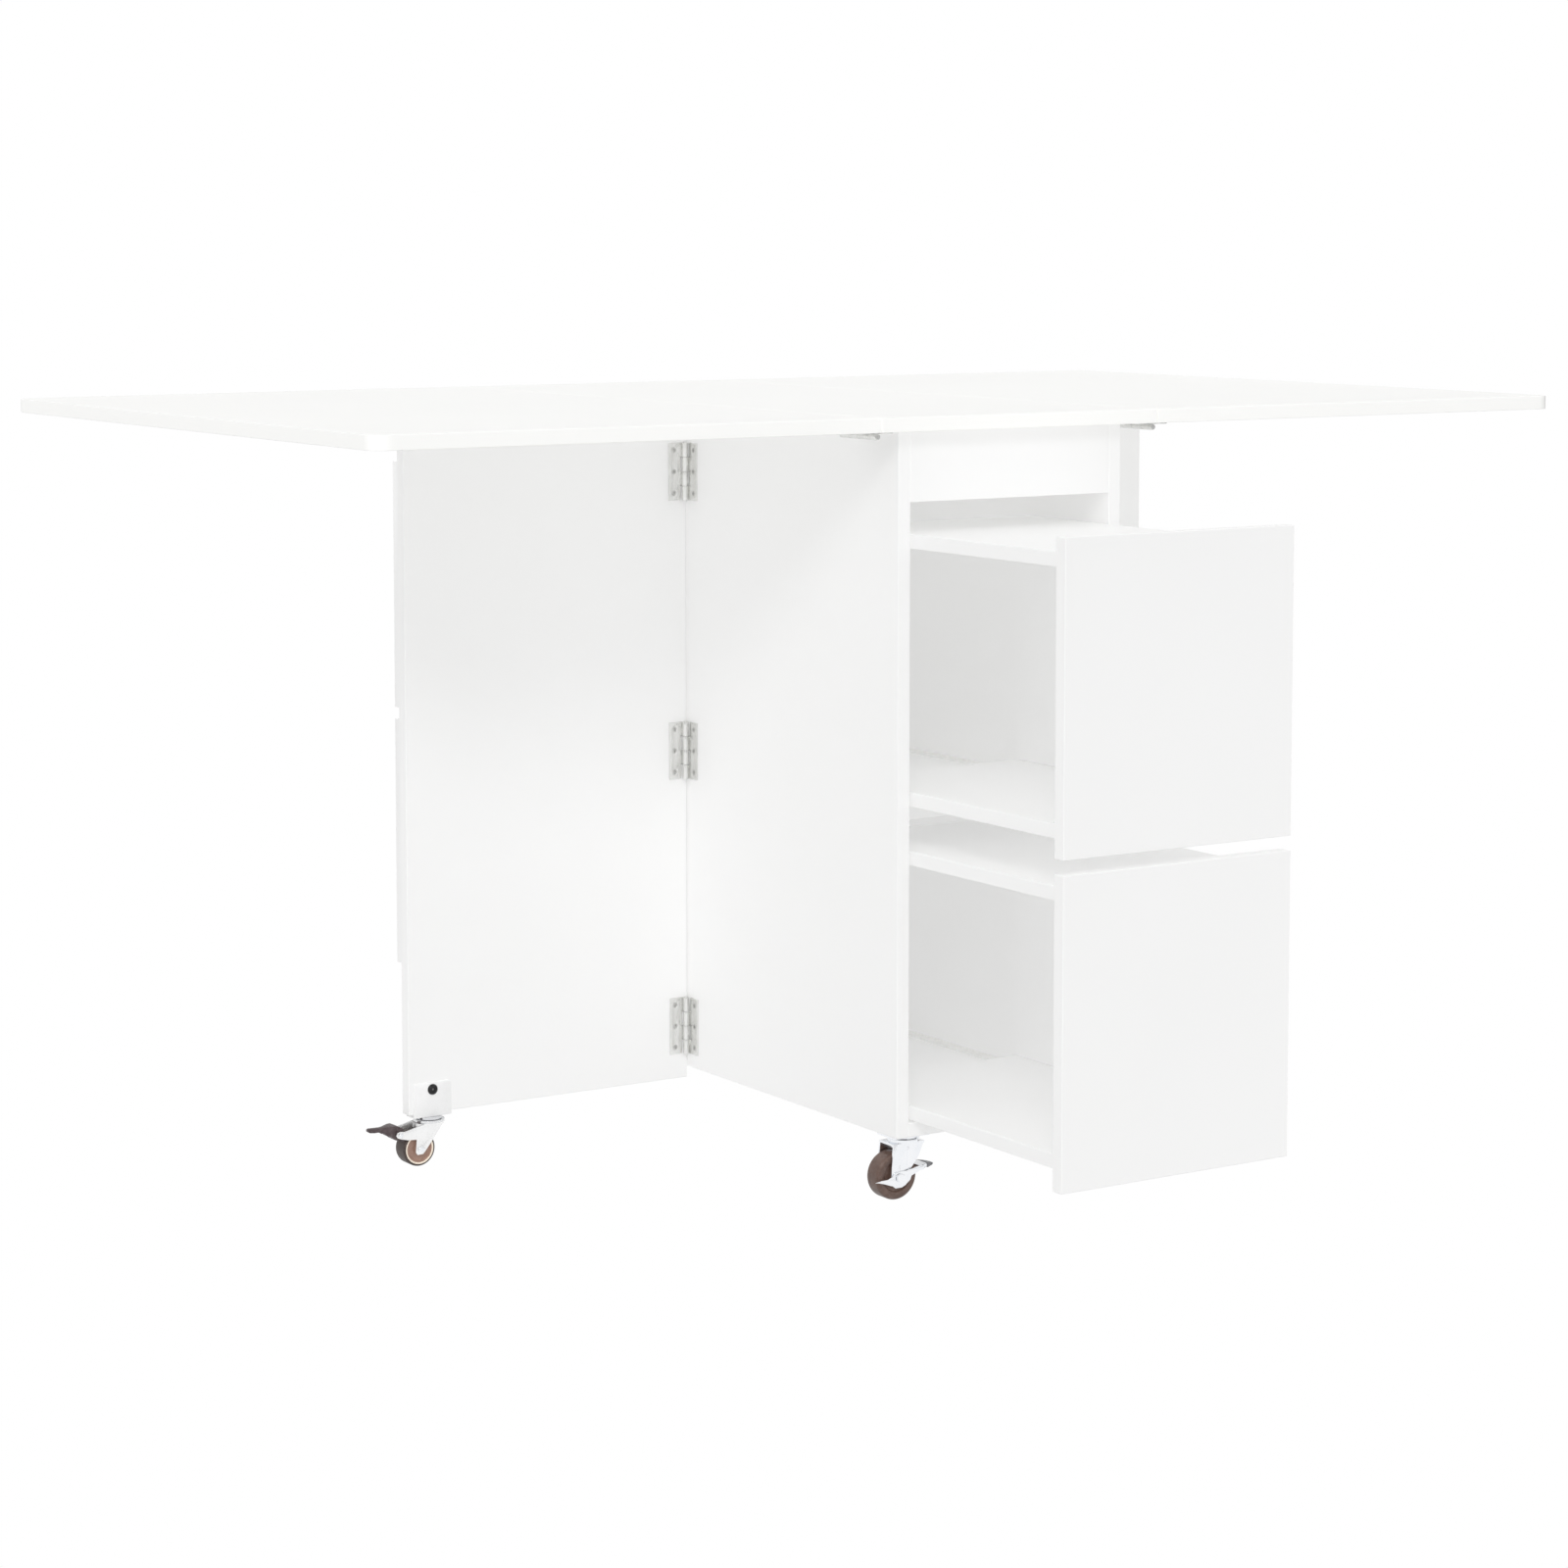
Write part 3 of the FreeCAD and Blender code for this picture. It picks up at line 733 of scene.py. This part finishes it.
@dataclass
class Boards:
    """All laminated boards: cabinet, top, legs and drawers."""

    cabinet: tuple[str, ...] = ("side_panel_left", "side_panel_right", "bottom_board", "centre_partition",
                                "middle_shelves", "apron_front", "apron_back", "centre_top")
    levels: tuple[str, ...] = ("upper", "lower")

    def build(self) -> None:
        """Dress every board."""
        names = list(self.cabinet)
        for side in Side:
            names += [f"{side.value}_leaf_board", f"{side.value}_leg_panel"]
        for end in End:
            names += [f"{end.value}_{level}_drawer_{part}"
                      for level in self.levels for part in ("front", "box")]
        for name in names:
            # The top and the leaves take the laminate painted lighter, as painted light where the light
            # falls from above.
            gets_painted_light = name == "centre_top" or name.endswith("leaf_board")
            dress(name, TOP_WHITE_PAINTED_LIGHTER if gets_painted_light else BOARD_WHITE)
        dress("drawer_runners", NYLON)
        LOG.info("dressed %d boards", len(names))


@dataclass
class Hinges:
    """Pressed hinge leaves and their pins."""

    rounding: float = 0.3 * MM

    def build(self) -> None:
        """Round the pressed leaves and dress the pins."""
        owners = {"leg_hinge_cabinet_leaves": "cabinet", "top_hinge_centre_leaves": "cabinet"}
        for side in Side:
            owners[f"{side.value}_leg_hinges"] = f"{side.value}_leg"
            owners[f"{side.value}_leaf_hinges"] = f"{side.value}_leaf"
        for node, body in owners.items():
            piece = softened(node, node + "_pressed", ZINC_SHEET, self.rounding)
            settle(piece, body, [node])
        dress("hinge_pins", ZINC_SHEET)


# ---------------------------------------------------------------- casters


@dataclass
class LegCaster:
    """The small caster under a gate leg, with its bracket, bolt and support pad.

    Lengths are in millimetres. A half is measured from the wheel's middle along its axle.
    """

    side: Side
    tyre_radius: float = 19.0
    tyre_half: float = 10.5
    tyre_round: float = 2.4
    ring_outer: float = 16.8
    ring_inner: float = 14.8
    ring_bevel: float = 0.4
    ring_stand: float = 0.1
    hub_half: float = 11.1
    hub_boss: float = 4.6
    dish_inner: float = 5.6
    dish_outer: float = 12.6
    dish_depth: float = 2.0
    axle_radius: float = 2.7
    bolt_radius: float = 5.9
    bolt_rise: float = 2.4
    bolt_shank: float = 2.5
    socket_radius: float = 1.5
    socket_floor: float = 0.6
    nut_radius: float = 4.6
    nut_height: float = 3.0
    nut_bevel: float = 0.4
    race_radius: float = 16.9
    race_inner: float = 14.4
    race_height: float = 2.9
    trail: float = 17.0
    pivot_trail: float = 41.8
    pivot_rise: float = 37.5
    axle_head: float = 3.8
    pivot_head: float = 2.8
    rivet_rise: float = 1.5

    @property
    def stem(self) -> str:
        """The start of this caster's names."""
        return f"{self.side.value}_leg_caster"

    def build(self) -> None:
        """Make and dress all its pieces."""
        leg = f"{self.side.value}_leg"
        self.wheel()
        self.bolt()
        self.races()
        self.rivets()
        for node, body, finish, width in (
            (self.stem + "_fork", self.stem + "_swivel", SATIN_PLATE, 0.35),
            (self.stem + "_pedal", self.stem + "_pedal", PEDAL_BROWN, 0.7),
            (leg + "_bracket", leg, POWDER_WHITE, 0.3),
            (leg + "_support_pad", leg, NYLON, 0.8),
        ):
            settle(softened(node, node + "_shaped", finish, width * MM), body, [node])
        # The stem and its fixed race take the steel painted darker, as painted shade and painted dark
        # reflection.
        dress(self.stem + "_stem", RACE_STEEL_PAINTED_DARKER)

    def axle(self) -> Vector:
        """The middle of the wheel."""
        low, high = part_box(self.stem + "_wheel")
        return (low + high) / 2

    def wheel(self) -> None:
        """A soft tyre on a cream rim, with a dished coffee-brown hub disc."""
        body = self.stem + "_wheel"
        face = self.tyre_half
        crown_centre = (self.tyre_radius - self.tyre_round, face - self.tyre_round)
        crown = arc(crown_centre, self.tyre_round, start=90, stop=0, steps=5)
        tyre = mirrored([(self.ring_outer, face)] + crown)
        ring = mirrored([(self.ring_inner, face - self.ring_bevel),
                         (self.ring_inner + self.ring_bevel, face + self.ring_stand),
                         (self.ring_outer - self.ring_bevel, face + self.ring_stand),
                         (self.ring_outer, face - self.ring_bevel)])
        hub = mirrored([(self.axle_radius, self.hub_half), (self.hub_boss, self.hub_half),
                        (self.hub_boss + 0.6, self.hub_half - 0.5),
                        (self.dish_inner, face - self.dish_depth),
                        (self.dish_outer, face - self.dish_depth + 0.4),
                        (self.dish_outer + 0.8, face - 0.5), (self.ring_inner, face - 0.5)])
        middle = self.axle()
        layers = (("tyre", tyre, TYRE_BROWN), ("rim", ring, RING_CREAM), ("hub", hub, HUB_COFFEE))
        for part, profile, finish in layers:
            name = f"{self.stem}_{part}"
            piece = shown(name, lathe(name, profile, middle, "Y"), finish)
            settle(piece, body, [body] if part == "tyre" else ())

    def bolt(self) -> None:
        """A black button-head bolt with a round socket, seen on the bracket's face."""
        node = f"{self.side.value}_leg_bracket_bolt"
        low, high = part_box(node)
        face_y = low.y if self.side is Side.LEFT else high.y
        face = Vector(((low.x + high.x) / 2, face_y, (low.z + high.z) / 2))
        crest = self.bolt_radius - self.bolt_rise
        dome = arc((crest, 0.0), self.bolt_rise, start=0, stop=90, steps=6)
        back = (high.y - low.y) / MM
        nut_face = back - self.nut_height
        profile = [(0.0, self.bolt_rise), (self.socket_radius, self.bolt_rise),
                   (self.socket_radius, self.socket_floor), (crest, 0.0)]
        profile += [(radius, self.bolt_rise - along) for radius, along in reversed(dome)]
        profile += [(self.bolt_shank, self.bolt_rise), (self.bolt_shank, nut_face),
                    (self.nut_radius, nut_face), (self.nut_radius, back - self.nut_bevel),
                    (self.nut_radius - self.nut_bevel, back), (0.0, back)]
        if self.side is Side.RIGHT:
            profile = [(radius, -along) for radius, along in profile]
        name = node + "_turned"
        piece = shown(name, lathe(name, profile, face, "Y", steps=48), BLACK_OXIDE)
        settle(piece, f"{self.side.value}_leg", [node])

    def races(self) -> None:
        """The plated rim of the swivel's lower race, under the fixed one, in steel painted darker as
        painted shade and painted dark reflection.
        """
        low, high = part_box(self.stem + "_stem")
        middle = (low + high) / 2
        middle.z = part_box(self.stem + "_fork")[1].z
        rim, foot, top = self.race_radius, -self.race_height, 0.05
        profile = [(self.race_inner, foot), (rim - 0.5, foot), (rim, foot + 0.5), (rim, -1.9),
                   (rim - 0.7, -1.5), (rim, -1.0), (rim, top - 0.45), (rim - 0.5, top),
                   (self.race_inner, top)]
        name = self.stem + "_race"
        piece = shown(name, lathe(name, profile, middle, "Z"), RACE_STEEL_PAINTED_DARKER)
        settle(piece, self.stem + "_swivel")

    def rivets(self) -> None:
        """Plated domed rivet heads with a dimple, at the axle and the pedal's pivot, on both cheeks."""
        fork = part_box(self.stem + "_fork")
        axle = self.axle()
        reach = self.side.sign * (self.pivot_trail - self.trail) * MM
        pivot = Vector((axle.x + reach, axle.y, self.pivot_rise * MM))
        spots = {"axle": (axle, self.axle_head), "pivot": (pivot, self.pivot_head)}
        face = (fork[1].y - fork[0].y) / 2 / MM - self.rivet_rise
        for part, (place, radius) in spots.items():
            dome = [(radius, face), (radius, face + 0.5), (radius - 0.35, face + 1.0),
                    (radius - 1.0, face + 1.35), (radius * 0.42, face + 1.4),
                    (radius * 0.34, face + 0.9), (0.0, face + 0.9)]
            for way in (-1, 1):
                profile = [(0.0, way * face)] + [(r, way * along) for r, along in dome]
                name = f"{self.stem}_{part}_rivet_{'near' if way < 0 else 'far'}"
                piece = shown(name, lathe(name, profile, place, "Y", steps=40), BRIGHT_PLATE)
                settle(piece, self.stem + "_swivel")


@dataclass
class CabinetCaster:
    """One of the four larger casters under the cabinet, in millimetres."""

    end: End
    side: Side
    radius: float = 25.0
    half: float = 10.75
    shoulder: float = 4.0
    boss_half: float = 11.1
    boss_radius: float = 6.2
    dish_inner: float = 7.2
    dish_outer: float = 15.6
    dish_depth: float = 2.6
    tread_inner: float = 18.0
    axle_radius: float = 3.2
    fork_edge: float = 0.45
    pedal_edge: float = 0.4
    toe: float = 13.0

    @property
    def stem(self) -> str:
        """The start of this caster's names."""
        return f"{self.end.value}_{self.side.value}_caster"

    def build(self) -> None:
        """Make and dress all its pieces."""
        self.wheel()
        fork, pedal = self.stem + "_fork", self.stem + "_pedal"
        shaped = softened(fork, fork + "_shaped", BRIGHT_PLATE, self.fork_edge * MM)
        settle(shaped, self.stem + "_swivel", [fork])
        toe_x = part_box(pedal)[1].x - self.toe * MM
        for name, finish, outward, nodes in (
            (pedal + "_lever", BRIGHT_PLATE, 1, [pedal]),
            (pedal + "_toe", PEDAL_GREY, -1, []),
        ):
            piece = softened(pedal, name, finish, self.pedal_edge * MM)
            split(piece.data, Vector((toe_x, 0.0, 0.0)), Vector((outward, 0.0, 0.0)))
            settle(piece, pedal, nodes)

    def wheel(self) -> None:
        """A moulded brown wheel with a rounded tread, a dished web and a hub boss."""
        body = self.stem + "_wheel"
        low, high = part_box(body)
        face, floor = self.half, self.half - self.dish_depth
        crown_centre = (self.radius - self.shoulder, face - self.shoulder)
        crown = arc(crown_centre, self.shoulder, start=90, stop=0, steps=7)
        web = [(self.axle_radius, self.boss_half), (self.boss_radius, self.boss_half),
               (self.boss_radius + 0.6, self.boss_half - 0.6), (self.dish_inner, floor),
               (self.dish_outer, floor + 0.4), (self.dish_outer + 1.2, face - 0.4),
               (self.tread_inner, face)]
        name = body + "_moulded"
        turned = lathe(name, mirrored(web + crown), (low + high) / 2, "Y", steps=96)
        settle(shown(name, turned, WHEEL_BROWN), body, [body])


@dataclass
class CasterPlates:
    """The four screwed plates under the cabinet."""

    rounding: float = 0.3 * MM

    def build(self) -> None:
        """Round the pressed plates."""
        node = "caster_plates"
        piece = softened(node, node + "_pressed", BRIGHT_PLATE, self.rounding)
        settle(piece, "cabinet", [node])


# ---------------------------------------------------------------- studio


@dataclass
class Studio:
    """Pale floor, soft light from all round, a wide key light, two shadowless fills and the camera."""

    floor_size: float = 60.0
    sky: float = 0.76
    sky_top: float = 0.82
    floor_glow: float = 0.67
    mirror_glow: float = 1.0
    mirror_shade: float = 0.2
    mirror_bands: Stops = ((0.0, 1.0), (0.2, 1.0), (0.25, 0.15), (0.31, 0.2), (0.38, 1.0), (1.0, 0.9))
    mirror_side: Stops = ((0.74, 1.0), (0.88, 0.0))
    shade_from: tuple[float, float] = (2.2, 4.0)
    fill_strength: float = 1.04
    key_strength: float = 0.46
    key_from: Colour = (-0.7, -1.0, 0.83)
    lamp_spread: float = 16.0
    corners: dict[str, Colour] = field(default_factory=lambda: {
        "fill_high": (-1.0, -1.0, 1.0),
        "fill_low": (1.0, 1.0, -1.0),
    })
    eye: Colour = (-2.37, -3.649, 1.018)
    azimuth: float = 32.907
    pitch: float = 5.119
    lens: float = 88.29
    shift: float = -0.14

    def build(self) -> None:
        """Make everything that isn't the table."""
        self.world()
        self.floor()
        self.key()
        self.fills()
        self.camera()
        bpy.context.scene.view_settings.view_transform = "Standard"

    def world(self) -> None:
        """White round about, a touch stronger overhead.

        Only reflections see the dark band and the dark side.
        """
        world = bpy.data.worlds.new("studio")
        bpy.context.scene.world = world
        world.use_nodes = True
        tree = world.node_tree
        tree.nodes.clear()
        where = tree.nodes.new("ShaderNodeTexCoord").outputs["Generated"]
        way = tree.nodes.new("ShaderNodeSeparateXYZ")
        tree.links.new(where, way.inputs[0])
        rise = self.ramp(tree, way.outputs["Z"], ((0.0, self.sky), (1.0, self.sky_top)))
        bands = self.ramp(tree, way.outputs["Z"], self.mirror_bands)
        lit_side = self.ramp(tree, way.outputs["X"], self.mirror_side)
        mirrored_sky = self.pick(tree, lit_side, self.grey(tree, self.mirror_shade), bands)
        rays = tree.nodes.new("ShaderNodeLightPath")
        seen = self.pick(tree, rays.outputs["Is Glossy Ray"], rise, mirrored_sky)
        seen = self.pick(tree, rays.outputs["Is Camera Ray"], seen, self.grey(tree, 1.0))
        glow = tree.nodes.new("ShaderNodeBackground")
        output = tree.nodes.new("ShaderNodeOutputWorld")
        tree.links.new(seen, glow.inputs["Color"])
        tree.links.new(glow.outputs[0], output.inputs["Surface"])

    def ramp(self, tree: bpy.types.NodeTree, value: bpy.types.NodeSocket,
             stops: Stops) -> bpy.types.NodeSocket:
        """A grey that follows a value.

        Args:
            tree: The tree to add to.
            value: The value, from 0 to 1.
            stops: Pairs of position and grey.

        Returns:
            The socket with the grey.
        """
        node = tree.nodes.new("ShaderNodeValToRGB")
        elements = node.color_ramp.elements
        while len(elements) < len(stops):
            elements.new(0.5)
        for element, (position, grey) in zip(elements, stops):
            element.position = position
            element.color = (grey, grey, grey, 1.0)
        tree.links.new(value, node.inputs["Fac"])
        return node.outputs["Color"]

    def grey(self, tree: bpy.types.NodeTree, tone: float) -> bpy.types.NodeSocket:
        """A socket with an even grey."""
        socket = tree.nodes.new("ShaderNodeRGB").outputs[0]
        socket.default_value = (tone, tone, tone, 1.0)
        return socket

    def pick(self, tree: bpy.types.NodeTree, choice: bpy.types.NodeSocket,
             without: bpy.types.NodeSocket, having: bpy.types.NodeSocket) -> bpy.types.NodeSocket:
        """One colour or another, by a value such as the kind of ray.

        Args:
            tree: The tree to add to.
            choice: 1 for the second colour.
            without: The first colour.
            having: The second colour.

        Returns:
            The socket with the chosen colour.
        """
        node = tree.nodes.new("ShaderNodeMix")
        node.data_type = "RGBA"
        tree.links.new(choice, node.inputs["Factor"])
        tree.links.new(without, node.inputs["A"])
        tree.links.new(having, node.inputs["B"])
        return node.outputs["Result"]

    def floor(self) -> None:
        """A wide white floor that the camera sees as an even white."""
        shape = bmesh.new()
        bmesh.ops.create_grid(shape, x_segments=1, y_segments=1, size=self.floor_size)
        floor = placed("floor", stored("floor", shape))
        material = bpy.data.materials.new("pale_floor")
        material.use_nodes = True
        tree = material.node_tree
        tree.nodes.clear()
        rays = tree.nodes.new("ShaderNodeLightPath")
        bounce = tree.nodes.new("ShaderNodeEmission")
        spot = tree.nodes.new("ShaderNodeSeparateXYZ")
        tree.links.new(tree.nodes.new("ShaderNodeNewGeometry").outputs["Position"], spot.inputs[0])
        far = tree.nodes.new("ShaderNodeMapRange")
        far.inputs["From Min"].default_value, far.inputs["From Max"].default_value = self.shade_from
        tree.links.new(spot.outputs["X"], far.inputs["Value"])
        mirror = self.pick(tree, far.outputs["Result"], self.grey(tree, self.mirror_glow),
                           self.grey(tree, self.mirror_shade))
        lit = self.pick(tree, rays.outputs["Is Glossy Ray"], self.grey(tree, self.floor_glow), mirror)
        tree.links.new(lit, bounce.inputs["Color"])
        white = tree.nodes.new("ShaderNodeEmission")
        mix = tree.nodes.new("ShaderNodeMixShader")
        output = tree.nodes.new("ShaderNodeOutputMaterial")
        tree.links.new(rays.outputs["Is Camera Ray"], mix.inputs["Fac"])
        tree.links.new(bounce.outputs[0], mix.inputs[1])
        tree.links.new(white.outputs[0], mix.inputs[2])
        tree.links.new(mix.outputs[0], output.inputs["Surface"])
        floor.data.materials.append(material)

    def key(self) -> None:
        """A wide key light from the front left, above the top."""
        self.lamp("key", self.key_strength, Vector(self.key_from))

    def fills(self) -> None:
        """Two even fills from opposite corners, which reach into the open drawers without shadows."""
        for name, corner in self.corners.items():
            lamp = self.lamp(name, self.fill_strength, Vector(corner))
            lamp.data.use_shadow = False
            lamp.visible_glossy = False

    def lamp(self, name: str, strength: float, place: Vector) -> bpy.types.Object:
        """A wide lamp far away.

        Args:
            name: The lamp's name.
            strength: Its strength.
            place: The direction that it stands in.

        Returns:
            The lamp.
        """
        data = bpy.data.lights.new(name, "SUN")
        data.energy = strength
        data.angle = math.radians(self.lamp_spread)
        lamp = placed(name, data)
        lamp.rotation_mode = "QUATERNION"
        lamp.rotation_quaternion = (-place).to_track_quat("-Z", "Y")
        return lamp

    def camera(self) -> None:
        """A long lens at worktop height, in front and to the left."""
        data = bpy.data.cameras.new("camera")
        data.lens = self.lens
        data.sensor_width = 36.0
        data.shift_y = self.shift
        camera = placed("camera", data)
        turn, tilt = math.radians(self.azimuth), math.radians(self.pitch)
        way = Vector((math.sin(turn) * math.cos(tilt), math.cos(turn) * math.cos(tilt),
                      -math.sin(tilt)))
        camera.rotation_mode = "QUATERNION"
        camera.rotation_quaternion = way.to_track_quat("-Z", "Y")
        camera.location = self.eye
        bpy.context.scene.camera = camera


def main() -> None:
    """Build the looks in order."""
    steps: list[tuple[str, Callable[[], None]]] = [
        ("studio", Studio().build),
        ("boards", Boards().build),
        ("hinges", Hinges().build),
        ("screws", Screws().build),
        ("caster plates", CasterPlates().build),
    ]
    steps += [(f"{side.value} leg caster", LegCaster(side).build) for side in Side]
    steps += [(f"{end.value} {side.value} caster", CabinetCaster(end, side).build)
              for end in End for side in Side]
    for label, build in steps:
        LOG.info("building %s", label)
        build()


if __name__ == "__main__":
    main()
